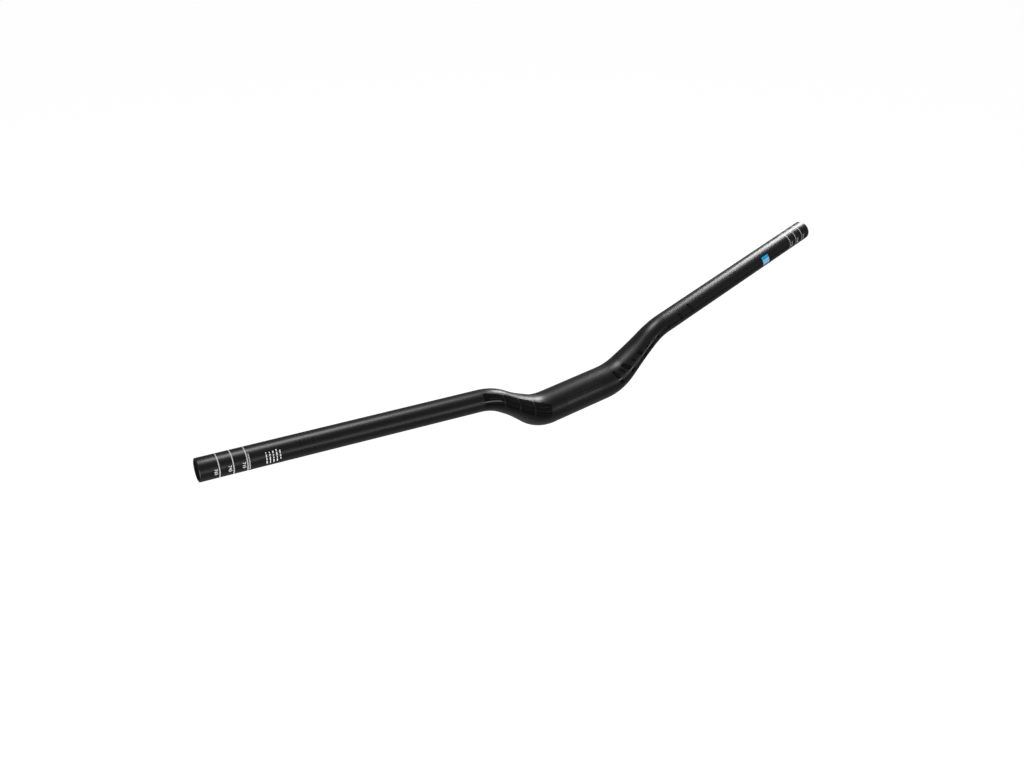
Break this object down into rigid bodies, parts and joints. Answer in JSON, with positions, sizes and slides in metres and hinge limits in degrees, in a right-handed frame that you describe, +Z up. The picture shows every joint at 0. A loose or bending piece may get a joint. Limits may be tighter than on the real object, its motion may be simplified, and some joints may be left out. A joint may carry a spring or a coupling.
{
  "type": "bicycle handlebar",
  "caption": "Wide riser handlebar for a mountain bicycle: one hollow bent tube, thick at the stem clamp, with oval legs and swept-back grips.",
  "frame": {"origin": "middle of the stem clamp, on its axis", "axes": "+X along the clamp axis, to the right seen from the front; -Y to the front of the bicycle and +Y to the rider; +Z up, the way the bar rises"},
  "size_m": [0.8034, 0.0742, 0.0852],
  "materials": {
    "bar_finish": "satin"
  },
  "bodies": {
    "root": {"handlebar": "bar_finish"}
  },
  "joints": []
}
